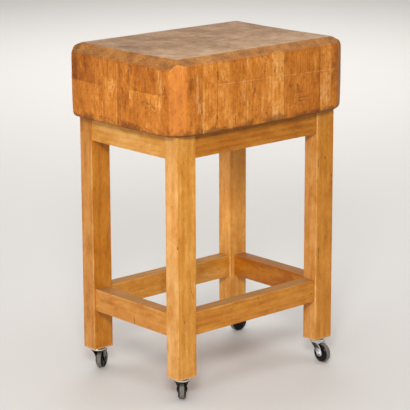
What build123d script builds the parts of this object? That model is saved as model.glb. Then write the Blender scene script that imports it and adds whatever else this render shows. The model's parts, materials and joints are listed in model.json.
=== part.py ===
from build123d import *
import math
import os

# Butcher block table: a thick glued-up block on a mortised wooden stand with four swivel casters.
# Millimetres, +Z up. The origin is on the floor, under the middle of the block.
# +X runs along the wide front face, which looks towards -Y.

# Block
block_length = 600.0
block_width = 436.0
block_height = 193.0
row_thicknesses = (57.0, 61.0, 61.0, 46.0, 56.0, 33.0, 64.0, 58.0)
stave_widths = (87.0, 50.0, 51.0, 47.0, 49.0, 38.0, 45.0, 45.5, 37.0, 47.5, 42.5, 60.5)
shift_count = 5
end_bevel_run = 28.0
end_bevel_drop = 26.0
side_bevel_run = 33.0
side_bevel_drop = 17.0
corner_cut_x = 38.0
corner_cut_y = 25.0
bottom_chamfer = 4.0

# Stand
overhang_x = 24.0
overhang_y = 24.5
leg_size_x = 62.0
leg_size_y = 47.0
leg_length = 635.0
leg_arris = 1.5
apron_height = 63.0
apron_thickness = 38.0
apron_setback = 3.0
stretcher_height = 60.0
stretcher_thickness = 40.0
stretcher_setback = 5.0
stretcher_lift = 109.0
rail_arris = 1.2
tenon_thickness = 13.0
tenon_shoulder = 9.0
tenon_wall = 2.0
short_tenon_length = 22.0
mortise_glue_room = 1.0
stub_size_x = 40.0
stub_size_y = 30.0
stub_height = 25.0

# Casters
caster_height = 66.0
caster_trail = 21.0
wheel_diameter = 51.0
wheel_width = 20.0
tread_width = 12.0
tread_depth = 4.5
tread_stand = 1.3
wheel_shoulder = 3.2
dish_diameter = 36.0
dish_depth = 3.5
hub_diameter = 15.0
hub_end_gap = 0.3
axle_diameter = 8.0
axle_clearance = 0.05
axle_head_diameter = 12.0
axle_head_height = 1.8
fork_plate = 2.0
fork_side_gap = 0.6
fork_top_gap = 3.2
fork_diameter = 38.4
fork_neck_width = 18.0
fork_back_reach = 18.0
fork_bend_height = 40.0
fork_end_diameter = 17.0
race_gap = 5.2
race_pitch_diameter = 27.0
ball_diameter = 5.1
ball_count = 6
crown_diameter = 39.0
crown_wall = 1.7
crown_skirt_gap = 0.8
crown_seat_diameter = 26.0
crown_shoulder = 3.3
stem_diameter = 11.0
stem_length = 36.0
stem_fork_clearance = 0.3
stem_head_diameter = 17.0
stem_head_height = 2.1
socket_wall = 1.5
socket_clearance = 0.05
socket_length = 42.0
socket_flange_diameter = 25.0
socket_flange = 1.2
socket_bore_room = 2.0
round_sides = 32
small_sides = 12

# The way each caster trails, as an angle about the swivel from +X
caster_turns = {
    "front_left": 48.0,
    "front_right": -90.0,
    "back_left": 31.0,
    "back_right": -5.0,
}

# Heights and places that follow from the sizes above
leg_bottom = caster_height
block_bottom = leg_bottom + leg_length
block_top = block_bottom + block_height
stretcher_bottom = leg_bottom + stretcher_lift
apron_bottom = block_bottom - apron_height
stand_half_x = block_length / 2 - overhang_x
stand_half_y = block_width / 2 - overhang_y
span_x = 2 * (stand_half_x - leg_size_x)
span_y = 2 * (stand_half_y - leg_size_y)
corner_signs = {
    "front_left": (-1, -1),
    "front_right": (1, -1),
    "back_left": (-1, 1),
    "back_right": (1, 1),
}
axle_height = wheel_diameter / 2
fork_bottom_face = wheel_diameter + fork_top_gap
fork_top_face = fork_bottom_face + fork_plate
race_height = fork_top_face + race_gap
crown_top = caster_height - socket_flange
fork_half_gap = wheel_width / 2 + fork_side_gap
fork_half_width = fork_half_gap + fork_plate
socket_bore = stem_diameter + 2 * socket_clearance
socket_diameter = socket_bore + 2 * socket_wall
groove_diameter = wheel_diameter - 2 * tread_depth

on_floor = (Align.CENTER, Align.CENTER, Align.MIN)


def save(name, *solids):
    """Write one node's solids to its own file."""
    shape = solids[0] if len(solids) == 1 else Compound(children=list(solids))
    export_step(shape, f"parts/{name}.step")


def leg_centre(corner):
    """The middle of a leg in plan."""
    sign_x, sign_y = corner_signs[corner]
    return sign_x * (stand_half_x - leg_size_x / 2), sign_y * (stand_half_y - leg_size_y / 2)


def only_solid(shape):
    """The one solid that a cut or an overlap leaves."""
    return shape.solids()[0]


# Block


def bevelled_profile(length, run, drop):
    """Section of the block across one direction: bevelled at the top, eased at the bottom."""
    half = length / 2
    return Polyline(
        (-half + bottom_chamfer, block_bottom),
        (half - bottom_chamfer, block_bottom),
        (half, block_bottom + bottom_chamfer),
        (half, block_top - drop),
        (half - run, block_top),
        (-half + run, block_top),
        (-half, block_top - drop),
        (-half, block_bottom + bottom_chamfer),
        close=True,
    )


def block_form():
    """The outside of the whole block, before it is divided into staves."""
    half_x = block_length / 2
    half_y = block_width / 2
    plan = Polyline(
        (-half_x + corner_cut_x, -half_y),
        (half_x - corner_cut_x, -half_y),
        (half_x, -half_y + corner_cut_y),
        (half_x, half_y - corner_cut_y),
        (half_x - corner_cut_x, half_y),
        (-half_x + corner_cut_x, half_y),
        (-half_x, half_y - corner_cut_y),
        (-half_x, -half_y + corner_cut_y),
        close=True,
    )
    column = extrude(make_face(plan), amount=block_top)
    end_view = make_face(Plane.YZ * bevelled_profile(block_width, side_bevel_run, side_bevel_drop))
    side_view = make_face(Plane.XZ * bevelled_profile(block_length, end_bevel_run, end_bevel_drop))
    across = extrude(end_view, amount=half_x, both=True)
    along = extrude(side_view, amount=half_y, both=True)
    return only_solid(column & across & along)


def stub(corner, height):
    """The stub tenon on a leg's top, or the mortise for it in the block."""
    x, y = leg_centre(corner)
    return Pos(x, y, block_bottom) * Box(stub_size_x, stub_size_y, height, align=on_floor)


def block_rows():
    """Rows of vertical staves, front to back, with the joints of each row shifted from the last."""
    form = block_form()
    mortises = [stub(corner, stub_height + mortise_glue_room) for corner in corner_signs]
    thickness_scale = block_width / sum(row_thicknesses)
    width_scale = block_length / sum(stave_widths)
    rows = []
    row_front = -block_width / 2
    for index, thickness in enumerate(row_thicknesses):
        depth = thickness * thickness_scale
        first = (index * shift_count) % len(stave_widths)
        widths = stave_widths[first:] + stave_widths[:first]
        left = -block_length / 2
        staves = []
        for width in widths:
            size = width * width_scale
            place = Pos(left + size / 2, row_front + depth / 2, block_bottom)
            stave = form & (place * Box(size, depth, block_height, align=on_floor))
            for mortise in mortises:
                stave = stave - mortise
            staves.append(only_solid(stave))
            left += size
        rows.append(staves)
        row_front += depth
    return rows


# Stand


def eased_box(size_x, size_y, size_z, arris, axis):
    """A planed length of timber with its long edges taken off."""
    bar = Box(size_x, size_y, size_z)
    return chamfer(bar.edges().filter_by(axis), arris)


def rail(along, side, bottom, height, thickness, setback):
    """One apron or stretcher with a tenon at each end, and the mortise that takes the tenons."""
    tenon_height = height - 2 * tenon_shoulder
    middle = bottom + height / 2
    if along == "x":
        crossing_tenon = setback + thickness / 2 + tenon_thickness / 2
        tenon_length = leg_size_x - crossing_tenon - tenon_wall
        place = Pos(0, side * (stand_half_y - setback - thickness / 2), middle)
        bar = eased_box(span_x, thickness, height, rail_arris, Axis.X)
        reach = span_x + 2 * tenon_length
        tongue = Box(reach, tenon_thickness, tenon_height)
        mortise = Box(reach + 2 * mortise_glue_room, tenon_thickness, tenon_height)
    else:
        place = Pos(side * (stand_half_x - setback - thickness / 2), 0, middle)
        bar = eased_box(thickness, span_y, height, rail_arris, Axis.Y)
        reach = span_y + 2 * short_tenon_length
        tongue = Box(tenon_thickness, reach, tenon_height)
        mortise = Box(tenon_thickness, reach + 2 * mortise_glue_room, tenon_height)
    return place * only_solid(bar + tongue), place * mortise


def stand_rails():
    """The four aprons under the block and the four stretchers near the floor."""
    faces = {"front": ("x", -1), "back": ("x", 1), "left": ("y", -1), "right": ("y", 1)}
    rails = {}
    for face, (along, side) in faces.items():
        rails[f"apron_{face}"] = rail(
            along, side, apron_bottom, apron_height, apron_thickness, apron_setback
        )
        rails[f"stretcher_{face}"] = rail(
            along, side, stretcher_bottom, stretcher_height, stretcher_thickness, stretcher_setback
        )
    return rails


def leg(corner, mortises):
    """A leg with eased arrises and a stub tenon, mortised for four rails and bored for a socket."""
    x, y = leg_centre(corner)
    post = eased_box(leg_size_x, leg_size_y, leg_length, leg_arris, Axis.Z)
    post = chamfer(post.faces().sort_by(Axis.Z)[0].edges(), leg_arris / 2)
    post = Pos(x, y, leg_bottom + leg_length / 2) * post + stub(corner, stub_height)
    for mortise in mortises:
        post = post - mortise
    bore = drum(socket_diameter, leg_bottom, leg_bottom + socket_length + socket_bore_room, small_sides)
    return only_solid(post - Pos(x, y, 0) * bore)


# Casters, each drawn over the floor with its swivel on the Z axis and trailing along +X


def many_sided(diameter, sides):
    """A regular outline with its flats on the diameter and a flat on each axis."""
    return RegularPolygon(diameter / 2, sides, major_radius=False, rotation=180 / sides)


def drum(diameter, bottom, top, sides):
    """A many-sided drum about the Z axis."""
    return Pos(0, 0, bottom) * extrude(many_sided(diameter, sides), amount=top - bottom)


def tapered_drum(diameter, end_diameter, bottom, top, sides):
    """A drum that draws in evenly to a smaller top."""
    slope = math.degrees(math.atan2((diameter - end_diameter) / 2, top - bottom))
    return Pos(0, 0, bottom) * extrude(many_sided(diameter, sides), amount=top - bottom, taper=slope)


def under_leg(corner, shape):
    """A caster piece that stays square with its leg."""
    x, y = leg_centre(corner)
    return Pos(x, y, 0) * shape


def trailing(corner, shape):
    """A caster piece turned the way the caster trails."""
    return under_leg(corner, Rot(0, 0, caster_turns[corner]) * shape)


def caster_socket():
    """Steel sleeve driven into the leg, with a flange against the end grain."""
    top = leg_bottom + socket_length
    sleeve = drum(socket_diameter, leg_bottom, top, small_sides)
    flange = drum(socket_flange_diameter, crown_top, leg_bottom, small_sides)
    return only_solid(sleeve + flange - drum(socket_bore, crown_top, top, small_sides))


def caster_stem():
    """Stem with a head below the fork."""
    head_top = fork_bottom_face - stem_fork_clearance
    head_bottom = head_top - stem_head_height
    length = leg_bottom + stem_length - head_bottom
    shank = Pos(0, 0, head_bottom) * Cylinder(stem_diameter / 2, length, align=on_floor)
    return only_solid(shank + drum(stem_head_diameter, head_bottom, head_top, small_sides))


def caster_crown():
    """Pressed cap with a sloping shoulder over the ball race, held on the stem."""
    skirt = fork_top_face + crown_skirt_gap
    shoulder = crown_top - crown_shoulder
    cap = drum(crown_diameter, skirt, shoulder, round_sides)
    cap = cap + tapered_drum(crown_diameter, crown_seat_diameter, shoulder, crown_top, round_sides)
    cap = cap - drum(crown_diameter - 2 * crown_wall, skirt, race_height, round_sides)
    return only_solid(cap - Cylinder(stem_diameter / 2, 2 * caster_height))


def caster_balls():
    """Loose balls of the swivel race, each cut with eighteen flats."""
    cube = Box(ball_diameter, ball_diameter, ball_diameter)
    ball = cube & (Rot(45, 0, 0) * cube) & (Rot(0, 45, 0) * cube) & (Rot(0, 0, 45) * cube)
    ball = Pos(race_pitch_diameter / 2, 0, fork_top_face + race_gap / 2) * only_solid(ball)
    return [Rot(0, 0, 360 * step / ball_count) * ball for step in range(ball_count)]


def on_axle(shape):
    """A piece drawn about the Z axis, laid on the axle's line."""
    return Pos(caster_trail, 0, axle_height) * Rot(90, 0, 0) * shape


def caster_fork():
    """Pressed fork: a round top that draws in to two cheeks, which run back to the axle."""
    shoulder = math.sqrt(fork_diameter**2 - fork_neck_width**2) / 2
    low = axle_height - fork_end_diameter
    outside = [
        (-fork_half_width, low),
        (-fork_half_width, fork_bend_height),
        (-shoulder, fork_bottom_face),
        (-shoulder, fork_top_face),
    ]
    inside = [
        (shoulder - fork_plate, fork_bottom_face),
        (fork_half_gap, fork_bend_height),
        (fork_half_gap, low),
    ]
    outline = outside + [(-y, z) for y, z in reversed(outside)]
    outline += [(y, z) for y, z in reversed(inside)] + [(-y, z) for y, z in inside]
    reach = caster_trail + fork_diameter
    band = extrude(make_face(Plane.YZ * Polyline(*outline, close=True)), amount=reach, both=True)
    lean = Vector(caster_trail, axle_height - fork_top_face, 0).normalized()
    side_x = -lean.Y * fork_end_diameter / 2
    side_z = lean.X * fork_end_diameter / 2
    cheek = make_face(
        Plane.XZ
        * Polyline(
            (-fork_neck_width / 2, fork_top_face),
            (fork_back_reach, fork_top_face),
            (caster_trail + fork_end_diameter / 2, axle_height),
            (caster_trail - side_x, axle_height - side_z),
            close=True,
        )
    )
    cheeks = extrude(cheek, amount=fork_diameter, both=True)
    cheeks = cheeks + on_axle(drum(fork_end_diameter, -fork_diameter, fork_diameter, small_sides))
    top = drum(fork_diameter, fork_bottom_face, fork_top_face, round_sides)
    stem_hole = drum(stem_diameter + 2 * stem_fork_clearance, 0, caster_height, small_sides)
    axle_hole = on_axle(drum(axle_diameter, -fork_diameter, fork_diameter, small_sides))
    return only_solid((band & cheeks) + top - stem_hole - axle_hole)


def caster_axle():
    """Axle rivet with a head outside each cheek of the fork."""
    end = fork_half_width + axle_head_height
    pin = Cylinder(axle_diameter / 2, 2 * end)
    head = drum(axle_head_diameter, fork_half_width, end, small_sides)
    return on_axle(only_solid(pin + head + Rot(180, 0, 0) * head))


def caster_wheel():
    """Moulded wheel: a grooved rim with sloping shoulders, dished sides and a hub."""
    half = wheel_width / 2
    tread = tread_width / 2
    hub_end = fork_half_gap - hub_end_gap
    shoulder_diameter = wheel_diameter - 2 * tread_stand
    side_diameter = shoulder_diameter - 2 * wheel_shoulder
    shoulder = tapered_drum(shoulder_diameter, side_diameter, tread, half, round_sides)
    dish = tapered_drum(dish_diameter, hub_diameter, -half, -half + dish_depth, round_sides)
    side = shoulder - Rot(180, 0, 0) * dish
    wheel = drum(groove_diameter, -tread, tread, round_sides) + side + Rot(180, 0, 0) * side
    wheel = wheel + drum(hub_diameter, -hub_end, hub_end, round_sides)
    bore = drum(axle_diameter + 2 * axle_clearance, -hub_end, hub_end, small_sides)
    return on_axle(only_solid(wheel - bore))


def caster_tyre():
    """Tread ring that lies in the wheel's groove."""
    half = tread_width / 2
    ring = drum(wheel_diameter, -half, half, round_sides)
    return on_axle(only_solid(ring - drum(groove_diameter, -half, half, round_sides)))


def main():
    os.makedirs("parts", exist_ok=True)
    for index, staves in enumerate(block_rows()):
        save(f"block_row_{index + 1}", *staves)
    rails = stand_rails()
    for name, (bar, _) in rails.items():
        save(name, bar)
    mortises = [mortise for _, mortise in rails.values()]
    corners = list(corner_signs)
    for corner in corners:
        save(f"leg_{corner}", leg(corner, mortises))
    fixed = {
        "caster_sockets": caster_socket(),
        "caster_stems": caster_stem(),
        "caster_crowns": caster_crown(),
    }
    for name, shape in fixed.items():
        save(name, *[under_leg(corner, shape) for corner in corners])
    balls = caster_balls()
    save("caster_balls", *[under_leg(corner, ball) for corner in corners for ball in balls])
    moving = {
        "caster_fork": caster_fork(),
        "caster_axle": caster_axle(),
        "caster_wheel": caster_wheel(),
        "caster_tyre": caster_tyre(),
    }
    for name, shape in moving.items():
        for corner in corners:
            save(f"{name}_{corner}", trailing(corner, shape))


main()
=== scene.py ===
import json
import math
import random

import bmesh
import bpy
from mathutils import Matrix, Vector, noise


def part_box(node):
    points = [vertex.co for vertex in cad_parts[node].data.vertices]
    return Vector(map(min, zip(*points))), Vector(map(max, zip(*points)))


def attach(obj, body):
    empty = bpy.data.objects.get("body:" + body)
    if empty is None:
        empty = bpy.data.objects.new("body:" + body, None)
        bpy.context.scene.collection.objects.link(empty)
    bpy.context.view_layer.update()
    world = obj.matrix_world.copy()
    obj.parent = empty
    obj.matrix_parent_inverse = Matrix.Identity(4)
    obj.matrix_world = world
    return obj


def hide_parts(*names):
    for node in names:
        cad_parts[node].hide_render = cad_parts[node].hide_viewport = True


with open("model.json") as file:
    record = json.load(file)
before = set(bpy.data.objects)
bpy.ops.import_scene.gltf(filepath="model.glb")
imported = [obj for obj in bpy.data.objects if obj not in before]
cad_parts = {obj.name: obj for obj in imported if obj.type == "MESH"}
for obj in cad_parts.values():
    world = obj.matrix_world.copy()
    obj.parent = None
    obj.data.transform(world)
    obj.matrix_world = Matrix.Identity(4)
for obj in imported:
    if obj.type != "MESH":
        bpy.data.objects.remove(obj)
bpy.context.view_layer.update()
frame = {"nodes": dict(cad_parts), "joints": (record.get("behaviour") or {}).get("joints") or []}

# Butcher block table: a worn glued-up block on a varnished stand with bright casters.
# Metres, +Z up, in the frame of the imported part. The near corner in the view is front_left.

nodes = frame["nodes"]
joints = {joint["name"]: joint for joint in frame["joints"]}
corners = ["front_left", "front_right", "back_left", "back_right"]
row_names = sorted(name for name in nodes if name.startswith("block_row_"))
mm = 0.001
chance = random.Random(41)


def paint(red, green, blue):
    """A colour given as it looks on a screen, 0 to 255, as linear light."""
    def linear(value):
        value /= 255
        return value / 12.92 if value <= 0.04045 else ((value + 0.055) / 1.055) ** 2.4
    return linear(red), linear(green), linear(blue), 1.0


# Shader nodes in short

number, vector = "NodeSocketFloat", "NodeSocketVector"


def feed(tree, socket, value):
    """Link an output to a socket, or set the socket's own value."""
    if isinstance(value, bpy.types.NodeSocket):
        tree.links.new(value, socket)
    else:
        socket.default_value = value


def add(tree, kind, inputs, **settings):
    """A node with its settings made and its inputs fed."""
    node = tree.nodes.new(kind)
    for name, value in settings.items():
        setattr(node, name, value)
    for socket, value in inputs.items():
        feed(tree, node.inputs[socket], value)
    return node


def sum_of(tree, operation, *values, clamp=False):
    """The result of one Math node."""
    inputs = dict(enumerate(values))
    return add(tree, "ShaderNodeMath", inputs, operation=operation, use_clamp=clamp).outputs[0]


def product(tree, first, second):
    """Two values multiplied."""
    return sum_of(tree, "MULTIPLY", first, second)


def size_of(tree, value):
    """A value without its sign."""
    return sum_of(tree, "ABSOLUTE", value)


def largest(tree, values):
    """The largest of several values."""
    total, *others = values
    for other in others:
        total = sum_of(tree, "MAXIMUM", total, other)
    return total


def weighted(tree, start, *terms, clamp=False):
    """A start plus each value times its weight, with the whole held to 0 to 1 if asked."""
    for value, weight in terms[:-1]:
        start = sum_of(tree, "MULTIPLY_ADD", value, weight, start)
    value, weight = terms[-1]
    return sum_of(tree, "MULTIPLY_ADD", value, weight, start, clamp=clamp)


def vector_sum(tree, operation, *values, result="Vector"):
    """The result of one Vector Math node."""
    inputs = dict(enumerate(values))
    return add(tree, "ShaderNodeVectorMath", inputs, operation=operation).outputs[result]


def scaled(tree, place, *scale):
    """A place scaled along X, Y and Z, which draws out a pattern where the scale is small."""
    return vector_sum(tree, "MULTIPLY", place, scale)


def parts_of(tree, whole):
    """The X, Y and Z of a vector."""
    return add(tree, "ShaderNodeSeparateXYZ", {0: whole}).outputs


def coordinates(tree):
    """Places and facings on the piece that is shaded."""
    return add(tree, "ShaderNodeTexCoord", {}).outputs


def attribute(tree, name):
    """A vector that the mesh carries at each point."""
    return add(tree, "ShaderNodeAttribute", {}, attribute_name=name).outputs["Vector"]


def band(tree, value, low, high):
    """Rises softly from 0 to 1 as a value goes from low to high."""
    inputs = {"Value": value, "From Min": low, "From Max": high}
    return add(tree, "ShaderNodeMapRange", inputs, interpolation_type="SMOOTHSTEP").outputs[0]


def blend(tree, factor, first, second):
    """One colour over another."""
    inputs = {0: factor, 6: first, 7: second}
    return add(tree, "ShaderNodeMix", inputs, data_type="RGBA", blend_type="MIX").outputs[2]


def cover(tree, colour, mask, share, tint):
    """A colour with a tint laid over it, as far as a mask and a share allow."""
    return blend(tree, product(tree, mask, share), colour, paint(*tint))


def ramp(tree, value, stops):
    """A colour picked along a row of stops, each a place and a colour."""
    node = add(tree, "ShaderNodeValToRGB", {0: value})
    elements = node.color_ramp.elements
    while len(elements) < len(stops):
        elements.new(1.0)
    for element, (place, colour) in zip(elements, stops):
        element.position = place
        element.color = paint(*colour)
    return node.outputs[0]


def speckle(tree, place, scale, detail=2.0, roughness=0.5):
    """Soft noise from 0 to 1."""
    inputs = {"Vector": place, "Scale": scale, "Detail": detail, "Roughness": roughness}
    return add(tree, "ShaderNodeTexNoise", inputs).outputs[0]


def new_group(name, inputs, outputs):
    """An empty shader group, with its sockets, and its two end nodes."""
    group = bpy.data.node_groups.new(name, "ShaderNodeTree")
    for socket, kind in inputs.items():
        group.interface.new_socket(socket, in_out="INPUT", socket_type=kind)
    for socket, kind in outputs.items():
        group.interface.new_socket(socket, in_out="OUTPUT", socket_type=kind)
    given, out = group.nodes.new("NodeGroupInput"), group.nodes.new("NodeGroupOutput")
    return group, given.outputs, out.inputs


def use(tree, group, **inputs):
    """A group placed in a material with its own values."""
    node = tree.nodes.new("ShaderNodeGroup")
    node.node_tree = group
    for socket, value in inputs.items():
        feed(tree, node.inputs[socket.replace("_", " ")], value)
    return node.outputs


def new_material(name):
    """A material with a bare Principled shader."""
    material = bpy.data.materials.new(name)
    material.use_nodes = True
    tree = material.node_tree
    return material, tree, tree.nodes["Principled BSDF"].inputs


def bumped(tree, height, distance, strength):
    """A normal from a height."""
    inputs = {"Height": height, "Distance": distance, "Strength": strength}
    return add(tree, "ShaderNodeBump", inputs).outputs[0]


# Shared effects


def make_timber_grain():
    """Streaks, growth rings and dark flecks of timber that runs along Z."""
    group, given, out = new_group(
        "timber_grain",
        {"Vector": vector, "Ring Scale": number},
        {"Streaks": number, "Rings": number, "Clouds": number, "Flecks": number},
    )
    place = given["Vector"]
    drawn_out = scaled(group, place, 1.0, 1.0, 0.05)
    wander = {"Vector": drawn_out, "Scale": 18.0, "Detail": 2.0}
    wander = add(group, "ShaderNodeTexNoise", wander).outputs[1]
    wander = vector_sum(group, "SUBTRACT", wander, (0.5, 0.5, 0.5))
    wander = scaled(group, wander, 0.03, 0.03, 0.0)
    rings = {
        "Vector": vector_sum(group, "ADD", drawn_out, wander),
        "Scale": given["Ring Scale"],
        "Distortion": 2.5,
        "Detail": 2.0,
        "Detail Scale": 1.4,
    }
    rings = add(group, "ShaderNodeTexWave", rings, wave_type="RINGS", rings_direction="Z")
    feed(group, out["Rings"], rings.outputs["Fac"])
    streaks = scaled(group, place, 1.0, 1.0, 0.13)
    feed(group, out["Streaks"], speckle(group, streaks, 84.0, detail=7.0, roughness=0.78))
    clouds = scaled(group, place, 1.0, 1.0, 0.5)
    feed(group, out["Clouds"], speckle(group, clouds, 30.0, detail=7.0, roughness=0.7))
    flecks = speckle(group, scaled(group, place, 1.0, 1.0, 0.2), 300.0, roughness=0.6)
    gathered = speckle(group, place, 34.0, detail=3.0, roughness=0.6)
    flecks = product(group, band(group, flecks, 0.53, 0.65), band(group, gathered, 0.38, 0.62))
    feed(group, out["Flecks"], flecks)
    return group


def make_pepper():
    """Dark dots, nicks and short level scratches, thicker in some places than in others."""
    group, given, out = new_group("pepper", {"Vector": vector}, {"Mask": number})
    place = given["Vector"]
    dots = band(group, speckle(group, place, 380.0), 0.58, 0.68)
    level = scaled(group, place, 0.14, 0.14, 1.0)
    dashes = band(group, speckle(group, level, 300.0, detail=3.0, roughness=0.6), 0.58, 0.7)
    upright = scaled(group, place, 1.0, 1.0, 0.6)
    nicks = band(group, speckle(group, upright, 130.0, roughness=0.4), 0.63, 0.71)
    marks = weighted(group, dots, (dashes, 0.4), (nicks, 1.0), clamp=True)
    thick = band(group, speckle(group, place, 20.0, detail=4.0, roughness=0.65), 0.36, 0.66)
    feed(group, out["Mask"], product(group, marks, thick))
    return group


def make_stroke():
    """A worn scratch or scuff from one point to another."""
    group, given, out = new_group(
        "stroke",
        {"Vector": vector, "Breaks": number, "Start": vector, "End": vector, "Half Width": number},
        {"Mask": number},
    )
    along = vector_sum(group, "SUBTRACT", given["End"], given["Start"])
    reach = vector_sum(group, "SUBTRACT", given["Vector"], given["Start"])
    share = sum_of(
        group,
        "DIVIDE",
        vector_sum(group, "DOT_PRODUCT", reach, along, result="Value"),
        vector_sum(group, "DOT_PRODUCT", along, along, result="Value"),
        clamp=True,
    )
    nearest = {0: along, "Scale": share}
    nearest = add(group, "ShaderNodeVectorMath", nearest, operation="SCALE").outputs[0]
    away = vector_sum(group, "DISTANCE", reach, nearest, result="Value")
    away = sum_of(group, "DIVIDE", away, given["Half Width"])
    away = weighted(group, away, (given["Breaks"], 3.2))
    feed(group, out["Mask"], band(group, away, 2.6, 1.5))
    return group


def make_floor_dust():
    """Pale dust that thickens towards the floor."""
    inputs = {"Vector": vector, "Height": number}
    group, given, out = new_group("floor_dust", inputs, {"Mask": number})
    low = band(group, parts_of(group, given["Vector"])["Z"], given["Height"], 0.0)
    patches = speckle(group, given["Vector"], 120.0, detail=4.0, roughness=0.65)
    feed(group, out["Mask"], product(group, low, band(group, patches, 0.25, 0.75)))
    return group


timber_grain = make_timber_grain()
pepper = make_pepper()
stroke = make_stroke()
floor_dust = make_floor_dust()


def strokes(tree, place, lines, breaks=None):
    """All the strokes of one kind, as one mask."""
    if breaks is None:
        breaks = speckle(tree, place, 140.0, detail=4.0, roughness=0.7)
    return largest(tree, [
        use(tree, stroke, Vector=place, Breaks=breaks, Start=start, End=end, Half_Width=half)["Mask"]
        for start, end, half in lines
    ])


# Wood of the block, with its colours as they look on a screen

side_stops = (
    (0.2, (134, 68, 12)),
    (0.42, (186, 107, 28)),
    (0.6, (209, 129, 45)),
    (0.85, (238, 173, 94)),
)
bevel_stops = ((0.2, (88, 48, 12)), (0.5, (156, 99, 38)), (0.8, (192, 138, 70)))
top_stops = ((0.2, (98, 64, 34)), (0.5, (153, 117, 81)), (0.8, (196, 163, 129)))
facet_orange = (204, 124, 50)
fleck_brown = (112, 48, 8)
pepper_brown = (98, 44, 8)
bruise_brown = (92, 50, 16)
glue_brown = (104, 54, 16)
# The grime colour also paints shade along the bottom edge; the rim colour paints shade on the
# underside and on the bottom rim, which is partly grime
grime_and_shade_brown = (96, 46, 10)
rim_and_underside_shade_brown = (84, 42, 12)
stain_brown = (112, 54, 12)
grease_brown = (84, 46, 16)
gouge_brown = (92, 42, 10)
scratch_pale = (240, 190, 134)
scrape_pale = (226, 172, 112)
# Breaks in marks that are broken up by a grain of their own
even_breaks = 0.35


def stave_tone(tree, shifted, height):
    """The tone of a stave, in up to three lengths joined end to end."""
    tones = parts_of(tree, attribute(tree, "stave_tones"))
    ends = parts_of(tree, attribute(tree, "joint_heights"))
    wavy = weighted(tree, height, (speckle(tree, shifted, 60.0), 6 * mm))
    tone = tones["X"]
    for joint, below, over in (("X", "X", "Y"), ("Y", "Y", "Z")):
        above = sum_of(tree, "SUBTRACT", wavy, ends[joint])
        step = sum_of(tree, "SUBTRACT", tones[over], tones[below])
        tone = weighted(tree, tone, (band(tree, above, 1.8 * mm, 4.2 * mm), step))
    return tone


def side_grain(tree, place, shifted, grain, tone, on_facet):
    """Long grain on the sides of the staves, cleaner on the facets."""
    mottle = scaled(tree, shifted, 1.0, 1.0, 0.7)
    mottle = speckle(tree, mottle, 170.0, detail=4.0, roughness=0.8)
    value = weighted(
        tree,
        -0.43,
        (tone, 0.34),
        (grain["Rings"], 0.06),
        (grain["Streaks"], 0.42),
        (mottle, 0.46),
        (grain["Clouds"], 1.05),
        clamp=True,
    )
    colour = ramp(tree, value, side_stops)
    colour = cover(tree, colour, on_facet, 0.45, facet_orange)
    colour = cover(tree, colour, grain["Flecks"], 0.34, fleck_brown)
    dotted = use(tree, pepper, Vector=place)["Mask"]
    return cover(tree, colour, dotted, weighted(tree, 0.72, (on_facet, -0.45)), pepper_brown)


def past_crease(tree, place, height, facing):
    """How far a point lies above the crease below the bevels, which is ragged with wear."""
    crease = {
        "Value": size_of(tree, facing["X"]),
        "From Min": 0.3,
        "From Max": 0.4,
        "To Min": block.side_z,
        "To Max": block.end_z,
    }
    crease = add(tree, "ShaderNodeMapRange", crease).outputs[0]
    ragged = speckle(tree, place, 38.0, detail=6.0, roughness=0.78)
    ragged = sum_of(tree, "SUBTRACT", ragged, 0.5)
    return weighted(tree, sum_of(tree, "SUBTRACT", height, crease), (ragged, 13 * mm))


def knife_cuts(tree, place):
    """Fine cuts that cross the top in several directions."""
    masks = []
    for angle, stretch in ((12.0, 30.0), (64.0, 34.0), (-38.0, 28.0), (-80.0, 32.0)):
        spin = {
            "Vector": place,
            "Rotation": (0.0, 0.0, math.radians(angle)),
            "Scale": (1.0, stretch, 1.0),
        }
        turned = add(tree, "ShaderNodeMapping", spin).outputs[0]
        masks.append(band(tree, speckle(tree, turned, 24.0, roughness=0.6), 0.6, 0.72))
    return largest(tree, masks)


def glue_line(tree, place):
    """The joints between staves, from the bounds that each stave carries."""
    low = parts_of(tree, vector_sum(tree, "SUBTRACT", place, attribute(tree, "stave_low")))
    high = parts_of(tree, vector_sum(tree, "SUBTRACT", attribute(tree, "stave_high"), place))
    across = sum_of(tree, "MINIMUM", low["X"], high["X"])
    deep = sum_of(tree, "MINIMUM", low["Y"], high["Y"])
    gap = sum_of(tree, "MINIMUM", across, deep)
    wobble = speckle(tree, place, 90.0, detail=3.0, roughness=0.6)
    return band(tree, weighted(tree, gap, (wobble, 0.9 * mm)), 1.1 * mm, 0.5 * mm)


def bottom_grime_and_shade(tree, place, height, colour):
    """Grime in spots, thicker along the bottom edge, and a dark rim there, both partly grime and
    partly painted shade.
    """
    underside = block.low.z
    spots = speckle(tree, place, 80.0, detail=5.0, roughness=0.75)
    # Partly grime and partly painted shade: darker towards the bottom edge
    low_edge_grime_and_shade = band(tree, height, underside + 25 * mm, underside)
    low_edge_grime_and_shade = product(tree, low_edge_grime_and_shade, band(tree, speckle(tree, place, 14.0), 0.36, 0.62))
    grime_and_shade = band(tree, weighted(tree, spots, (low_edge_grime_and_shade, 0.48)), 0.52, 0.84)
    colour = cover(tree, colour, grime_and_shade, 0.62, grime_and_shade_brown)
    # The dark rim along the underside is partly grime and partly painted shade
    rim = weighted(tree, sum_of(tree, "SUBTRACT", height, underside), (spots, 12 * mm))
    return cover(tree, colour, band(tree, rim, 12 * mm, 6 * mm), 0.6, rim_and_underside_shade_brown)


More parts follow.
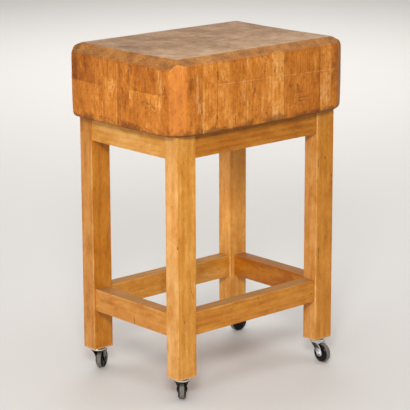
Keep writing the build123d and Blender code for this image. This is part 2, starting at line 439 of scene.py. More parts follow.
def make_block_wood():
    """Oiled staves on end: streaked sides, speckled bevels and a hazy cut-up top."""
    material, tree, skin = new_material("block_wood")
    coords = coordinates(tree)
    place, facing = coords["Object"], parts_of(tree, coords["Normal"])
    _, deep, height = parts_of(tree, place)
    shifted = vector_sum(tree, "ADD", place, attribute(tree, "stave_shift"))
    grain = use(tree, timber_grain, Vector=shifted, Ring_Scale=48.0)
    tone = stave_tone(tree, shifted, height)
    on_facet = size_of(tree, product(tree, facing["X"], facing["Y"]))
    on_facet = band(tree, on_facet, 0.2, 0.4)
    off_facet = sum_of(tree, "SUBTRACT", 1.0, on_facet)
    on_top = band(tree, facing["Z"], 0.93, 0.985)
    past = past_crease(tree, place, height, facing)
    on_bevel = product(tree, band(tree, past, -3 * mm, 5 * mm), off_facet)

    # End grain on the bevels, and on the top, which is paler along the front edge
    pores = speckle(tree, shifted, 300.0, detail=5.0, roughness=0.8)
    stains = speckle(tree, place, 26.0, detail=5.0, roughness=0.7)
    rings = grain["Rings"]
    value = ((tone, 0.06), (rings, 0.06), (pores, 1.0), (stains, 0.9))
    bevel = ramp(tree, weighted(tree, -0.5, *value, clamp=True), bevel_stops)
    cuts = knife_cuts(tree, place)
    worked_edge = band(tree, deep, 0.02, -0.18)
    rubbed = speckle(tree, place, 14.0, detail=8.0, roughness=0.78)
    value = weighted(
        tree,
        -0.35,
        (cuts, -0.2),
        (stains, 0.3),
        (tone, 0.05),
        (pores, 0.35),
        (worked_edge, 0.14),
        (rubbed, 1.0),
        clamp=True,
    )
    side = side_grain(tree, place, shifted, grain, tone, on_facet)
    colour = blend(tree, on_bevel, side, bevel)
    colour = blend(tree, on_top, colour, ramp(tree, value, top_stops))

    # Bruises along the crease, glue lines, and grime with painted shade along the bottom edge
    bruised = sum_of(tree, "DIVIDE", size_of(tree, past), 6 * mm)
    bruised = sum_of(tree, "SUBTRACT", 1.0, bruised, clamp=True)
    bruised = product(tree, bruised, band(tree, pores, 0.4, 0.62))
    colour = cover(tree, colour, product(tree, bruised, off_facet), 0.5, bruise_brown)
    seam = glue_line(tree, place)
    colour = cover(tree, colour, seam, 0.5, glue_brown)
    colour = bottom_grime_and_shade(tree, place, height, colour)

    # Stains, grease, scratches, scrapes and gouges
    spotted = speckle(tree, place, 150.0, detail=3.0, roughness=0.6)
    stained = strokes(tree, place, stain_strokes, even_breaks)
    stained = product(tree, stained, band(tree, spotted, 0.42, 0.6))
    colour = cover(tree, colour, stained, 0.62, stain_brown)
    grease = product(tree, strokes(tree, place, grease_strokes), off_facet)
    colour = cover(tree, colour, grease, 0.7, grease_brown)
    scratched = strokes(tree, place, pale_strokes)
    colour = cover(tree, colour, scratched, 0.5, scratch_pale)
    hairs = scaled(tree, place, 1.0, 1.0, 0.22)
    hairs = speckle(tree, hairs, 200.0, detail=4.0, roughness=0.75)
    scraped = strokes(tree, place, scrape_strokes, even_breaks)
    scraped = product(tree, scraped, band(tree, hairs, 0.4, 0.62))
    colour = cover(tree, colour, scraped, 0.55, scrape_pale)
    colour = cover(tree, colour, strokes(tree, place, dark_strokes), 0.7, gouge_brown)
    # Painted shade: faces that look down are darkened
    underside_shade = band(tree, facing["Z"], -0.25, -0.7)
    feed(tree, skin["Base Color"], cover(tree, colour, underside_shade, 0.7, rim_and_underside_shade_brown))

    rough = weighted(tree, 0.44, (grain["Clouds"], 0.2), (on_bevel, 0.1))
    feed(tree, skin["Roughness"], rough)
    skin["Specular IOR Level"].default_value = 0.28
    relief = weighted(
        tree,
        product(tree, seam, -0.8),
        (grain["Streaks"], 0.6),
        (product(tree, cuts, on_top), -0.6),
        (scratched, -0.6),
    )
    feed(tree, skin["Normal"], bumped(tree, relief, 0.7 * mm, 0.6))
    return material


# Wood of the stand

stand_stops = (
    (0.2, (164, 91, 13)),
    (0.42, (192, 120, 30)),
    (0.6, (206, 136, 46)),
    (0.85, (226, 166, 82)),
)
stand_fleck = (138, 70, 12)
stand_pepper = (128, 62, 10)
shelf_dust = (148, 114, 71)
# Pale of the painted sheen on faces towards -X
painted_sheen_pale = (226, 184, 134)
arris_pale = (236, 196, 140)
foot_pale = (226, 180, 122)
knot_brown = (92, 42, 8)
# Pale of the painted arris highlights
highlight_pale = (244, 212, 160)

# How light each timber is
stand_tones = {
    "leg_front_left": 0.03,
    "leg_front_right": -0.11,
    "leg_back_left": -0.22,
    "leg_back_right": 0.05,
    "apron_front": -0.28,
    "apron_back": -0.12,
    "apron_left": 0.05,
    "apron_right": -0.1,
    "stretcher_front": -0.16,
    "stretcher_back": 0.02,
    "stretcher_left": -0.14,
    "stretcher_right": -0.38,
}
# How strongly a pale painted sheen is laid on the face towards -X, the side the light comes from
usual_painted_sheen = 0.12
painted_sheen_sides = {
    "leg_front_left": 0.3,
    "leg_front_right": 0.24,
    "leg_back_left": 0.17,
    "leg_back_right": 0.06,
    "stretcher_right": 0.0,
}
leg_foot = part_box("leg_front_left")[0][2]
# How far a timber lies from the middle of its tree, and how far along it
stand_pith = (0.05, 0.22)
stand_start = (-2, 2)

# Knots and nicks in the stand, and painted highlights along arrises at the joints, in millimetres:
# where each starts and ends, and half its width
stand_knots = {
    "leg_front_left": (
        ((-276, -192, 420), (-276, -192, 415), 3.2),
        ((-256, -193.5, 221), (-255, -193.5, 217), 3.0),
        ((-236, -193.5, 306), (-221, -193.5, 272), 1.2),
    ),
    "leg_front_right": (
        ((245, -193.5, 572), (245, -193.5, 568), 2.8),
        ((269, -193.5, 519), (269, -193.5, 489), 2.0),
        ((219, -193.5, 570), (219, -193.5, 548), 1.9),
        ((223, -193.5, 325), (223, -193.5, 297), 2.4),
        ((248, -193.5, 350), (248, -193.5, 346), 2.3),
    ),
    "stretcher_left": (((-271, -12, 196), (-271, -16, 177), 2.8),),
    "stretcher_front": (
        ((6, -188.5, 229), (7, -188.5, 226), 3.0),
        ((203, -188.5, 201), (203, -188.5, 199), 3.0),
    ),
}
# Painted highlights where light catches arrises at the joints
arris_highlights = {
    "leg_front_right": (
        ((214, -193.5, 230), (214, -193.5, 174), 1.9),
        ((214, -193.5, 674), (214, -193.5, 636), 1.9),
    ),
    "leg_back_right": (((214, 146.5, 232), (214, 146.5, 177), 2.4),),
}


def make_stand_wood(piece, grain_axis):
    """Honey-coloured varnished timber whose grain runs along one axis."""
    material, tree, skin = new_material("stand_wood_" + piece)
    coords = coordinates(tree)
    place, facing = coords["Object"], parts_of(tree, coords["Normal"])
    parts = parts_of(tree, place)
    order = {"X": "YZX", "Y": "XZY", "Z": "XYZ"}[grain_axis]
    laid = {index: parts[axis] for index, axis in enumerate(order)}
    laid = add(tree, "ShaderNodeCombineXYZ", laid).outputs[0]
    pith = [chance.uniform(*stand_pith) * chance.choice((-1, 1)) for _ in range(2)]
    laid = vector_sum(tree, "ADD", laid, pith + [chance.uniform(*stand_start)])
    grain = use(tree, timber_grain, Vector=laid, Ring_Scale=22.0)
    clouds = grain["Clouds"]
    value = ((grain["Rings"], 0.08), (grain["Streaks"], 0.7), (clouds, 0.86))
    value = weighted(tree, stand_tones[piece] - 0.2, *value, clamp=True)
    colour = ramp(tree, value, stand_stops)
    colour = cover(tree, colour, grain["Flecks"], 0.3, stand_fleck)
    colour = cover(tree, colour, use(tree, pepper, Vector=place)["Mask"], 0.26, stand_pepper)

    # Dust on top, a painted sheen on the left, pale arrises, knots, painted arris highlights and
    # worn feet
    dusty = product(tree, band(tree, facing["Z"], 0.7, 0.95), band(tree, clouds, 0.2, 0.6))
    colour = cover(tree, colour, dusty, 0.7, shelf_dust)
    # Painted sheen: faces towards -X are paled as if lit from that side
    left_sheen = product(tree, band(tree, facing["X"], -0.4, -0.9), band(tree, clouds, 0.25, 0.65))
    colour = cover(tree, colour, left_sheen, painted_sheen_sides.get(piece, usual_painted_sheen), painted_sheen_pale)
    squareness = largest(tree, [size_of(tree, facing[axis]) for axis in "XYZ"])
    arris = product(tree, band(tree, squareness, 0.9, 0.75), band(tree, clouds, 0.4, 0.6))
    colour = cover(tree, colour, arris, 0.2, arris_pale)
    # Knots are marks in the wood; the arris strokes are painted highlights
    for marks, share, tint in (
        (stand_knots.get(piece), 0.85, knot_brown),
        (arris_highlights.get(piece), 0.55, highlight_pale),
    ):
        if marks:
            lines = [(Vector(start) * mm, Vector(end) * mm, half * mm) for start, end, half in marks]
            colour = cover(tree, colour, strokes(tree, place, lines), share, tint)
    worn_foot = band(tree, parts["Z"], leg_foot + 7 * mm, leg_foot + 1 * mm)
    feed(tree, skin["Base Color"], cover(tree, colour, worn_foot, 0.4, foot_pale))

    rough = weighted(tree, 0.3, (clouds, 0.16), (dusty, 0.45), clamp=True)
    feed(tree, skin["Roughness"], rough)
    skin["Specular IOR Level"].default_value = 0.3
    feed(tree, skin["Normal"], bumped(tree, grain["Streaks"], 0.5 * mm, 0.4))
    return material


# Metals, plastic and rubber

plate_stops = ((0.3, (206, 208, 209)), (0.7, (240, 241, 241)))
steel_stops = ((0.3, (128, 126, 122)), (0.7, (176, 174, 170)))
plastic_stops = ((0.35, (9, 8, 8)), (0.75, (26, 24, 23)))
rubber_stops = ((0.3, (86, 81, 75)), (0.7, (124, 117, 109)))
plastic_dust = (122, 110, 96)
rubber_dust = (150, 138, 122)
fork_shadow = (14, 13, 13)
# Darkest and brightest colour of each fork; all but front_right are painted near black as a painted
# dark reflection
painted_dark_reflection = ((8, 8, 8), (36, 37, 38))
fork_shades = {
    "front_left": painted_dark_reflection,
    "front_right": ((212, 214, 215), (250, 251, 251)),
    "back_left": painted_dark_reflection,
    "back_right": painted_dark_reflection,
}


def make_bright_plate():
    """Bright plated steel with smears."""
    material, tree, skin = new_material("bright_plate")
    smears = speckle(tree, coordinates(tree)["Object"], 90.0, detail=4.0, roughness=0.6)
    feed(tree, skin["Base Color"], ramp(tree, smears, plate_stops))
    skin["Metallic"].default_value = 0.95
    feed(tree, skin["Roughness"], weighted(tree, 0.06, (smears, 0.16)))
    return material


def make_fork_plate(corner):
    """Plated pressings, three of them painted near black as a painted dark reflection, with painted
    shade on the faces that look down.
    """
    material, tree, skin = new_material("fork_plate_" + corner)
    coords = coordinates(tree)
    smears = scaled(tree, coords["Object"], 1.0, 1.0, 0.15)
    smears = speckle(tree, smears, 160.0, detail=3.0, roughness=0.6)
    darkest, bright = fork_shades[corner]
    plate = ramp(tree, smears, ((0.35, darkest), (0.65, bright)))
    # Painted shade: faces that look down are darkened nearly to black
    under = band(tree, parts_of(tree, coords["Normal"])["Z"], 0.02, -0.2)
    feed(tree, skin["Base Color"], cover(tree, plate, under, 0.96, fork_shadow))
    skin["Metallic"].default_value = 0.35
    skin["Specular IOR Level"].default_value = 0.3
    feed(tree, skin["Roughness"], weighted(tree, 0.12, (smears, 0.2)))
    return material


def make_bare_steel():
    """Plain steel that shows tool marks."""
    material, tree, skin = new_material("bare_steel")
    marks = scaled(tree, coordinates(tree)["Object"], 1.0, 1.0, 8.0)
    marks = speckle(tree, marks, 300.0, detail=3.0)
    feed(tree, skin["Base Color"], ramp(tree, marks, steel_stops))
    skin["Metallic"].default_value = 1.0
    feed(tree, skin["Roughness"], weighted(tree, 0.3, (marks, 0.2)))
    return material


def make_wheel_plastic():
    """Black moulded plastic, scuffed and dusty at the floor."""
    material, tree, skin = new_material("wheel_plastic")
    place = coordinates(tree)["Object"]
    scuffs = speckle(tree, place, 240.0, detail=4.0, roughness=0.65)
    dust = use(tree, floor_dust, Vector=place, Height=50 * mm)["Mask"]
    black = ramp(tree, scuffs, plastic_stops)
    feed(tree, skin["Base Color"], cover(tree, black, dust, 0.05, plastic_dust))
    feed(tree, skin["Roughness"], weighted(tree, 0.26, (dust, 0.3)))
    skin["Specular IOR Level"].default_value = 0.16
    return material


def make_tyre_rubber():
    """Grey tread with worn-in dust."""
    material, tree, skin = new_material("tyre_rubber")
    place = coordinates(tree)["Object"]
    wear = speckle(tree, place, 180.0, detail=4.0, roughness=0.65)
    dust = use(tree, floor_dust, Vector=place, Height=70 * mm)["Mask"]
    grey = ramp(tree, wear, rubber_stops)
    feed(tree, skin["Base Color"], cover(tree, grey, dust, 0.35, rubber_dust))
    feed(tree, skin["Roughness"], weighted(tree, 0.62, (wear, 0.2)))
    feed(tree, skin["Normal"], bumped(tree, wear, 0.4 * mm, 0.5))
    return material


# Block


class Block:
    """The block's outline, read from its rows of staves."""

    def __init__(self):
        boxes = [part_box(name) for name in row_names]
        self.low = Vector(min(low[axis] for low, _ in boxes) for axis in range(3))
        self.high = Vector(max(high[axis] for _, high in boxes) for axis in range(3))
        points = [vertex.co for name in row_names for vertex in nodes[name].data.vertices]
        hair = 0.01 * mm
        top = [p for p in points if p.z > self.high.z - hair]
        end = [p for p in points if p.x > self.high.x - hair]
        side = [p for p in points if p.y > self.high.y - hair]
        self.flat_x = max(p.x for p in top)
        self.flat_y = max(p.y for p in top)
        self.end_z = max(p.z for p in end)
        self.side_z = max(p.z for p in side)
        self.facet_x = max(p.x for p in side)
        self.facet_y = max(p.y for p in end)
        self.facets = self.facet_planes()
        self.slopes = self.bevel_planes() + self.facets
        self.planes = self.square_planes() + self.slopes

    def square_planes(self):
        """Floor, top and four sides, each a normal and a distance."""
        planes = [(Vector((0, 0, 1)), self.high.z), (Vector((0, 0, -1)), -self.low.z)]
        for sign in (-1, 1):
            planes.append((Vector((sign, 0, 0)), self.high.x))
            planes.append((Vector((0, sign, 0)), self.high.y))
        return planes

    def bevel_planes(self):
        """The slopes around the top."""
        planes = []
        for sign in (-1, 1):
            end = Vector((sign * (self.high.z - self.end_z), 0, self.high.x - self.flat_x))
            end.normalize()
            planes.append((end, end.dot(Vector((sign * self.high.x, 0, self.end_z)))))
            side = Vector((0, sign * (self.high.z - self.side_z), self.high.y - self.flat_y))
            side.normalize()
            planes.append((side, side.dot(Vector((0, sign * self.high.y, self.side_z)))))
        return planes

    def facet_planes(self):
        """The upright flats across the corners."""
        wide, deep = self.high.y - self.facet_y, self.high.x - self.facet_x
        planes = []
        for sign in (-1, 1):
            for other in (-1, 1):
                facet = Vector((sign * wide, other * deep, 0)).normalized()
                edge = Vector((sign * self.high.x, other * self.facet_y, 0))
                planes.append((facet, facet.dot(edge)))
        return planes

    def creases(self, axis):
        """Where the outline bends along an axis."""
        if axis == 2:
            return self.low.z, self.end_z, self.side_z, self.high.z
        facet, flat = ((self.facet_x, self.flat_x), (self.facet_y, self.flat_y))[axis]
        return self.low[axis], -facet, -flat, flat, facet, self.high[axis]

    def outside_by(self, point):
        """How far a point lies outside the outline, or inside where it is below nought."""
        return max(normal.dot(point) - distance for normal, distance in self.planes)


block = Block()

# Wear of the block
edge_softness = 0.8 * mm
softness_change = 0.35 * mm
softness_noise = 14
corner_wear = 4.5
top_corner_wear = 2.2
corner_wear_reach = 26 * mm
softening_passes = 2
largest_power = 20
top_hollow = 3.6 * mm
hollow_at_ends = 0.35
wear_ripple = 0.35 * mm
ripple_noise = 18
ripple_layer = 3.0

# Tone of the staves that show on the front face, from its left end
front_tones = (-0.3, 0.1, 0.1, -0.1, 0.05, 0.0, 0.36, -0.3, -0.2, -0.4, 0.15, -0.5)
# Tones of the rows on the left face, front to back, in lengths from the underside upwards,
# and how high above the underside each length ends, in millimetres
left_tones = (
    (-0.4, -0.65, -0.6),
    (-0.1, 0.15, -0.5),
    (-0.1, 0.05, -0.5),
    (-0.35, -0.35, -0.3),
    (-0.05, 0.1, -0.15),
    (0.0, 0.05, -0.3),
    (-0.1, -0.05, -0.6),
    (-0.25, -0.2, -0.7),
)
left_joints = ((54, 150), (57, 101), (60, 101), (54, 99), (54, 120), (54, 96), (54, 98), (54, 98))
# The same for the staves that are drawn by chance
plain_tones = (-0.48, 0.38)
upper_steps = (0.0, 0.0, 0.3, -0.3)
usual_joint = 54
upper_joints = (90, 140)
# How far a stave lies from the middle of its tree, and how far along it
pith_across = (0.03, 0.16)
pith_deep = (-0.12, 0.12)
pith_along = (-4, 4)
# A bound that no glue line comes near, for staves at the outside
far_away = 1.0

grid_step = 12 * mm
crease_offsets = (1.5 * mm, 3.5 * mm, 6.5 * mm, 10 * mm)
least_gap = 1 * mm
cut_tolerance = 1e-6
shell_depth = 1e-5
stave_angle = math.radians(48)


def stave_ends(name):
    """Where the staves of a row begin and end along X."""
    mesh = nodes[name].data
    tall = (block.high.z - block.low.z) / 2
    ends = set()
    for face in mesh.polygons:
        heights = [mesh.vertices[index].co.z for index in face.vertices]
        if abs(face.normal.x) > 0.99 and max(heights) - min(heights) > tall:
            ends.add(round(face.center.x, 5))
    return sorted(ends)


def grid_lines(low, high, creases):
    """Places to divide a face: evenly, and closer together along each crease."""
    lines = [low + grid_step * step for step in range(1, int((high - low) / grid_step) + 1)]
    for crease in creases:
        lines += [crease + sign * offset for offset in crease_offsets for sign in (-1, 1)]
    kept = []
    for line in sorted(lines):
        clear = not kept or line - kept[-1] > least_gap
        if clear and low + least_gap < line < high - least_gap:
            kept.append(line)
    return kept


def softened(point):
    """A point of the sharp outline, moved in to the worn one."""
    softness = edge_softness + softness_change * noise.noise(point * softness_noise)
    low_down = corner_wear * math.exp((block.low.z - point.z) / corner_wear_reach)
    high_up = top_corner_wear * math.exp((point.z - block.high.z) / corner_wear_reach)
    for normal, distance in block.facets:
        kept_sharp = normal.x < 0 and normal.y < 0
        wear = low_down if kept_sharp else low_down + high_up
        nearness = math.exp((normal.dot(point) - distance) / corner_wear_reach)
        softness += edge_softness * wear * nearness
    for _ in range(softening_passes):
        total = 0.0
        slope = Vector()
        for normal, distance in block.planes:
            power = (normal.dot(point) - distance) / softness
            weight = math.exp(min(power, largest_power))
            total += weight
            slope += normal * weight
        slope /= total
        point = point - slope * (softness * math.log(total) / slope.length_squared)
    across = 1 - (point.y / block.high.y) ** 2
    along = 1 - hollow_at_ends * (point.x / block.high.x) ** 2
    rise = max(0.0, point.z - block.end_z) / (block.high.z - block.end_z)
    spot = Vector((point.x * ripple_noise, point.y * ripple_noise, ripple_layer))
    ripple = wear_ripple * (1 + noise.noise(spot))
    return point - Vector((0, 0, rise * (top_hollow * across * along + ripple)))


def stave_marks(row, index):
    """Tones of a stave's lengths and the heights where they join."""
    plain = chance.uniform(*plain_tones)
    tones = (plain, plain, plain + chance.choice(upper_steps))
    joins = (usual_joint, chance.uniform(*upper_joints))
    if row == 1:
        tones = (front_tones[index],) * 3
    elif index == 0:
        tones, joins = left_tones[row - 1], left_joints[row - 1]
    return tones, tuple(block.low.z + join * mm for join in joins) + (0,)


def lay_staves(bm, row, front, back, ends):
    """A box for each stave of a row, which carries the stave's bounds, tones and joints."""
    shift, low, high, tones, heights = (
        bm.verts.layers.float_vector.new(carried)
        for carried in ("stave_shift", "stave_low", "stave_high", "stave_tones", "joint_heights")
    )
    under, top = block.low.z, block.high.z
    for index, (left, right) in enumerate(zip(ends, ends[1:])):
        size = Vector((right - left, back - front, top - under))
        middle = Vector((left + right, front + back, under + top)) / 2
        shape = Matrix.Translation(middle) @ Matrix.Diagonal(size).to_4x4()
        verts = bmesh.ops.create_cube(bm, size=1, matrix=shape)["verts"]
        pith = Vector((
            chance.choice((-1, 1)) * chance.uniform(*pith_across),
            chance.uniform(*pith_deep),
            chance.uniform(*pith_along),
        ))
        lengths = stave_marks(row, index)
        low_x = left if index > 0 else -far_away
        low_y = front if row > 1 else -far_away
        high_x = right if index < len(ends) - 2 else far_away
        high_y = back if row < len(row_names) else far_away
        for vert in verts:
            vert[shift] = pith - Vector((middle.x, middle.y, 0))
            vert[low] = (low_x, low_y, 0)
            vert[high] = (high_x, high_y, 0)
            vert[tones], vert[heights] = lengths


def trim_staves(bm):
    """Cut the boxes back to the bevels and facets, and close them."""
    for normal, distance in block.slopes:
        cut = bmesh.ops.bisect_plane(
            bm,
            geom=bm.verts[:] + bm.edges[:] + bm.faces[:],
            dist=cut_tolerance,
            plane_co=normal * distance,
            plane_no=normal,
            clear_outer=True,
        )["geom_cut"]
        edges = [part for part in cut if isinstance(part, bmesh.types.BMEdge)]
        bmesh.ops.edgeloop_fill(bm, edges=[edge for edge in edges if edge.is_boundary])


def divide_shell(bm, outside, front, back):
    """Divide the faces that show, so that they can be worn."""
    spans = ((block.low.x, block.high.x), (front, back), (block.low.z, block.high.z))
    for axis, span in enumerate(spans):
        normal = Vector(float(axis == other) for other in range(3))
        for place in grid_lines(*span, block.creases(axis)):
            shell = [face for face in bm.faces if face[outside]]
            geom = set(shell)
            for face in shell:
                geom.update(face.edges)
                geom.update(face.verts)
            bmesh.ops.bisect_plane(
                bm, geom=list(geom), dist=cut_tolerance, plane_co=normal * place, plane_no=normal,
            )


def make_row(name, material):
    """One row of staves: boxes trimmed to the block's outline, then worn."""
    row = int(name.split("_")[-1])
    front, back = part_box(name)[0][1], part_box(name)[1][1]
    bm = bmesh.new()
    lay_staves(bm, row, front, back, stave_ends(name))
    trim_staves(bm)
    outside = bm.faces.layers.int.new("outside")
    for face in bm.faces:
        face[outside] = block.outside_by(face.calc_center_median()) > -shell_depth
    divide_shell(bm, outside, front, back)
    for vert in bm.verts:
        if any(face[outside] for face in vert.link_faces):
            vert.co = softened(vert.co)
    bm.normal_update()
    return finish_mesh(name + "_worn", bm, material, stave_angle)


def finish_mesh(name, bm, material, sharp_angle):
    """A smooth-shaded object from a mesh that is done."""
    mesh = bpy.data.meshes.new(name)
    bm.to_mesh(mesh)
    bm.free()
    mesh.shade_smooth()
    mesh.set_sharp_from_angle(angle=sharp_angle)
    mesh.materials.append(material)
    piece = bpy.data.objects.new(name, mesh)
    bpy.context.scene.collection.objects.link(piece)
    return piece


# Marks on the block, in millimetres: along the face from the near corner and up from the underside,
# where each starts and ends, and half its width
front_pale = ((129, 120, 560, 110, 0.8),)
front_scrapes = (
    (73, 150, 70, 100, 5.0),
    (70, 100, 76, 60, 7.0),
    (91, 78, 90, 6, 4.0),
    (504, 39, 513, 80, 6.0),
    (526, 31, 533, 93, 8.0),
    (538, 102, 547, 113, 3.0),
    (227, 118, 226, 70, 5.0),
)
front_dark = (
    (260, 75, 266, 92, 5.0),
    (417, 51, 454, 51, 1.5),
    (414, 43, 446, 42, 1.5),
    (410, 65, 435, 66, 1.3),
    (137, 178, 137, 2, 1.1),
    (137, 152, 140, 134, 4.0),
    (497, 172, 497, 4, 1.4),
    (415, 86, 417, 71, 4.0),
    (134, 34, 130, 11, 3.4),
    (199, 33, 196, 13, 2.4),
)
left_pale = ((225, 160, 226, 88, 1.2),)
left_scrapes = ((62, 158, 58, 112, 7.0),)
left_dark = (
    (170, 160, 168, 144, 5.0),
    (402, 110, 398, 104, 5.0),
    (205, 101, 202, 92, 4.5),
)
left_stains = (
    (177, 162, 179, 115, 6.0),
    (46, 118, 38, 98, 9.0),
    (120, 78, 84, 64, 12.0),
    (150, 106, 146, 84, 6.0),
    (292, 12, 248, 8, 8.0),
    (223, 13, 160, 8, 9.0),
    (145, 8, 91, 5, 8.0),
)


def placed_marks(front, left):
    """Marks of both faces as points on the block."""
    lines = []
    for marks, run in ((front, Vector((1, 0, 0))), (left, Vector((0, 1, 0)))):
        for along, up, along_end, up_end, half_width in marks:
            start = block.low + (run * along + Vector((0, 0, up))) * mm
            end = block.low + (run * along_end + Vector((0, 0, up_end))) * mm
            lines.append((start, end, half_width * mm))
    return lines


pale_strokes = placed_marks(front_pale, left_pale)
dark_strokes = placed_marks(front_dark, left_dark)
scrape_strokes = placed_marks(front_scrapes, left_scrapes)
stain_strokes = placed_marks((), left_stains)
near_bevel = Vector((block.low.x + 14 * mm, block.low.y + 16 * mm, block.high.z - 22 * mm))
grease_strokes = [
    (near_bevel, near_bevel + Vector((30 * mm, 8 * mm, 4 * mm)), 16 * mm),
    (near_bevel, near_bevel + Vector((2 * mm, 60 * mm, 0.0)), 14 * mm),
]


def make_block():
    """Every row of staves, in place of the row's plain solids."""
    material = make_block_wood()
    for name in row_names:
        piece = make_row(name, material)
        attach(piece, "table")
        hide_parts(name)


# Stand


def dress_stand():
    """The timbers keep their solids, each with grain along its own length."""
    grain_axes = {"leg": "Z", "front": "X", "back": "X", "left": "Y", "right": "Y"}
    for name, node in nodes.items():
        kind, side = name.split("_")[0], name.split("_")[-1]
        if kind in ("leg", "apron", "stretcher"):
            axis = grain_axes["leg"] if kind == "leg" else grain_axes[side]
            node.data.materials.clear()
            node.data.materials.append(make_stand_wood(name, axis))


# Casters


def filleted(points, radius, steps=4):
    """A closed outline with its corners rounded, where there is room for the radius."""
    most = 0.45
    rounded = []
    count = len(points)
    for index, corner in enumerate(points):
        corner = Vector(corner)
        before = Vector(points[index - 1]) - corner
        after = Vector(points[(index + 1) % count]) - corner
        reach = min(radius, before.length * most, after.length * most)
        first = corner + before.normalized() * reach
        last = corner + after.normalized() * reach
        for step in range(steps + 1):
            t = step / steps
            rounded.append(first * (1 - t) ** 2 + corner * 2 * t * (1 - t) + last * t ** 2)
    return rounded


def turn(bm, outline, matrix, segments):
    """Turn a closed outline of radius and height about the Z axis of a matrix."""
    rings = []
    for step in range(segments):
        angle = math.tau * step / segments
        x, y = math.cos(angle), math.sin(angle)
        rings.append([bm.verts.new(matrix @ Vector((x * r, y * r, h))) for r, h in outline])
    count = len(outline)
    for ring, following in zip(rings, rings[1:] + rings[:1]):
        for index in range(count):
            after = (index + 1) % count
            bm.faces.new((ring[index], following[index], following[after], ring[after]))


def mirrored(half):
    """A closed outline from the half of it that lies above nought."""
    return half + [(radius, -side) for radius, side in reversed(half)]


turned_angle = math.radians(40)


def turned_piece(name, outline, rounding, matrices, material, segments=64):
    """A rounded outline turned at each place that is given."""
    bm = bmesh.new()
    for matrix in matrices:
        turn(bm, filleted(outline, rounding), matrix, segments)
    bmesh.ops.recalc_face_normals(bm, faces=bm.faces)
    return finish_mesh(name, bm, material, turned_angle)


def axle_matrix(corner):
    """The wheel's place, with Z along its axle."""
    joint = joints["roll_" + corner]
    lean = Vector((0, 0, 1)).rotation_difference(Vector(joint["axis"]))
    return Matrix.Translation(joint["pos_m"]) @ lean.to_matrix().to_4x4()


# Wheels, as radius and half width
wheel_radius = 25.5 * mm
tread_half = 6.0 * mm
groove_radius = 21.0 * mm
shoulder_radius = 24.2 * mm
shoulder_lip = 0.4 * mm
rim_half = 10.0 * mm
rim_inside, rim_outside = 18.2 * mm, 20.9 * mm
dish_outside, dish_outside_half = 16.6 * mm, 7.6 * mm
dish_inside, dish_inside_half = 7.8 * mm, 6.9 * mm
hub_radius, hub_half = 7.5 * mm, 10.3 * mm
bore_radius = 4.05 * mm
wheel_rounding = 1.6 * mm
tread_rounding = 1.3 * mm
wheel_outline = [
    (bore_radius, hub_half),
    (hub_radius, hub_half),
    (dish_inside, dish_inside_half),
    (dish_outside, dish_outside_half),
    (rim_inside, rim_half),
    (rim_outside, rim_half),
    (shoulder_radius, tread_half + shoulder_lip),
    (shoulder_radius, tread_half),
    (groove_radius, tread_half),
]
tread_outline = [
    (groove_radius, -tread_half),
    (wheel_radius, -tread_half),
    (wheel_radius, tread_half),
    (groove_radius, tread_half),
]

# Axle rivets, with a dome of radii and drops from its tip
fork_half = 12.6 * mm
pin_radius = 4.0 * mm
rivet_radius = 6.0 * mm
rivet_height = 1.8 * mm
rivet_rounding = 0.5 * mm
rivet_segments = 40
rivet_dome = ((0.2 * mm, 0.0), (3.6 * mm, 0.15 * mm), (5.4 * mm, 0.8 * mm))
rivet_outline = [(radius, fork_half + rivet_height - drop) for radius, drop in rivet_dome]
rivet_outline += [(rivet_radius, fork_half), (pin_radius, fork_half)]


def make_wheels(plastic, rubber, plates):
    """Wheel centres, their tyres and the rivets that they turn on."""
    for corner in corners:
        places = [axle_matrix(corner)]
        wheel = turned_piece(
            "wheel_moulding_" + corner, mirrored(wheel_outline), wheel_rounding, places, plastic,
        )
        tread = turned_piece("tread_ring_" + corner, tread_outline, tread_rounding, places, rubber)
        # The rivets share their fork's plate, so three of them carry its painted dark reflection
        axle = turned_piece(
            "axle_rivet_" + corner, mirrored(rivet_outline), rivet_rounding, places, plates[corner],
            segments=rivet_segments,
        )
        for piece, body, node, slot in (
            (wheel, "wheel_", "caster_wheel_", "wheel_plastic"),
            (tread, "wheel_", "caster_tyre_", "tyre_rubber"),
            (axle, "fork_", "caster_axle_", "bright_plate"),
        ):
            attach(piece, body + corner)
            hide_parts(node + corner)


same_point = 0.001 * mm
same_plane = math.radians(1)
folded_edge = math.radians(25)
fork_angle = math.radians(20)
fork_rounding = 0.55 * mm
fork_rounding_steps = 5


def make_forks(plates):
    """The pressed forks with their edges rounded over."""
    for corner in corners:
        bm = bmesh.new()
        bm.from_mesh(nodes["caster_fork_" + corner].data)
        bmesh.ops.remove_doubles(bm, verts=bm.verts, dist=same_point)
        bmesh.ops.dissolve_limit(bm, angle_limit=same_plane, verts=bm.verts, edges=bm.edges)
        bmesh.ops.bevel(
            bm,
            geom=[edge for edge in bm.edges if edge.calc_face_angle(0) > folded_edge],
            offset=fork_rounding,
            segments=fork_rounding_steps,
            profile=0.5,
            affect="EDGES",
            clamp_overlap=True,
        )
        fork = finish_mesh("pressed_fork_" + corner, bm, plates[corner], fork_angle)
        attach(fork, "fork_" + corner)
        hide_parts("caster_fork_" + corner)


crown_bore = 5.5 * mm
crown_flat = 12.6 * mm
crown_shoulder, shoulder_drop = 16.8 * mm, 0.9 * mm
crown_radius = 19.5 * mm
crown_inside = 17.8 * mm
crown_depth = 3.6 * mm
crown_rounding = 1.8 * mm


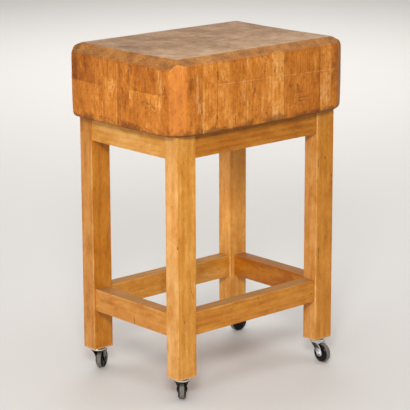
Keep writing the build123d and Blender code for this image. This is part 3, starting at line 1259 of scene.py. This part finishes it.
def make_crowns(plate):
    """The pressed caps over the swivels."""
    low, high = (box[2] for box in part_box("caster_crowns"))
    outline = [
        (crown_bore, high),
        (crown_flat, high),
        (crown_shoulder, high - shoulder_drop),
        (crown_radius, high - crown_depth),
        (crown_radius, low),
        (crown_inside, low),
        (crown_inside, low + crown_depth),
        (crown_bore, low + crown_depth),
    ]
    stems = [joints["swivel_" + corner]["pos_m"] for corner in corners]
    places = [Matrix.Translation((x, y, 0)) for x, y, _ in stems]
    crowns = turned_piece("crown_caps", outline, crown_rounding, places, plate)
    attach(crowns, "table")
    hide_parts("caster_crowns")


def dress_hidden_steel():
    """Sockets, stems and balls keep their solids."""
    steel = make_bare_steel()
    for name in ("caster_sockets", "caster_stems", "caster_balls"):
        nodes[name].data.materials.clear()
        nodes[name].data.materials.append(steel)


# Floor, light and camera

floor_size = 44.0
floor_grey = (206, 203, 199)


def make_floor():
    """A plain pale floor that reaches past every view."""
    material, _, skin = new_material("pale_floor")
    skin["Base Color"].default_value = paint(*floor_grey)
    skin["Roughness"].default_value = 0.8
    bpy.ops.mesh.primitive_plane_add(size=floor_size)
    floor = bpy.context.object
    floor.name = "pale_floor"
    floor.data.materials.append(material)


def aim(thing, place, target):
    """Put a light somewhere and point it."""
    thing.location = place
    thing.rotation_euler = (Vector(target) - Vector(place)).to_track_quat("-Z", "Y").to_euler()


# Name, place, target, size, power in watts and spread in degrees
studio_lights = (
    ("key_light", (-2.3, -2.4, 2.2), (0.0, 0.0, 0.5), 0.7, 13.6, 70.0),
    ("low_light", (-3.2, -1.2, 0.9), (0.0, 0.0, 0.42), 1.0, 3.6, 70.0),
    ("inner_light", (-2.81, -1.07, 0.8), (0.245, 0.17, 0.42), 0.2, 0.05, 4.4),
    ("ceiling_light", (1.0, 1.0, 5.5), (1.0, 1.0, 0.0), 9.0, 380.0, 180.0),
    ("floor_light", (3.4, 3.8, 2.6), (3.4, 3.8, 0.0), 3.5, 80.0, 180.0),
)
room_white = (1.0, 0.98, 0.95, 1.0)
room_span = 0.8
left_glow, right_glow = 0.4, 0.12


def make_light():
    """A soft room, brighter on the left, and the studio lights."""
    world = bpy.data.worlds.new("soft_room")
    world.use_nodes = True
    tree = world.node_tree
    backdrop = tree.nodes["Background"].inputs
    backdrop["Color"].default_value = room_white
    glow = {
        "Value": parts_of(tree, coordinates(tree)["Generated"])["X"],
        "From Min": -room_span,
        "From Max": room_span,
        "To Min": left_glow,
        "To Max": right_glow,
    }
    feed(tree, backdrop["Strength"], add(tree, "ShaderNodeMapRange", glow).outputs[0])
    bpy.context.scene.world = world
    for name, place, target, size, power, spread in studio_lights:
        light = bpy.data.lights.new(name, "AREA")
        light.size = size
        light.energy = power
        light.spread = math.radians(spread)
        lamp = bpy.data.objects.new(name, light)
        bpy.context.scene.collection.objects.link(lamp)
        aim(lamp, place, target)


camera_place = (-3.2332, -3.6027, 1.6628)
camera_yaw, camera_pitch, camera_roll = -0.7297, -0.2462, -0.0038
camera_lens, camera_sensor = 164.61, 36.0


def make_camera():
    """A camera at the photograph's viewing angle."""
    data = bpy.data.cameras.new("view_camera")
    data.lens = camera_lens
    data.sensor_width = camera_sensor
    camera = bpy.data.objects.new("view_camera", data)
    bpy.context.scene.collection.objects.link(camera)
    turned = Matrix.Rotation(camera_yaw, 4, "Z")
    turned = turned @ Matrix.Rotation(math.pi / 2 + camera_pitch, 4, "X")
    turned = turned @ Matrix.Rotation(camera_roll, 4, "Z")
    camera.matrix_world = Matrix.Translation(camera_place) @ turned
    bpy.context.scene.camera = camera
    bpy.context.scene.view_settings.view_transform = "Standard"


make_block()
dress_stand()
fork_plates = {corner: make_fork_plate(corner) for corner in corners}
make_wheels(make_wheel_plastic(), make_tyre_rubber(), fork_plates)
make_forks(fork_plates)
make_crowns(make_bright_plate())
dress_hidden_steel()
make_floor()
make_light()
make_camera()
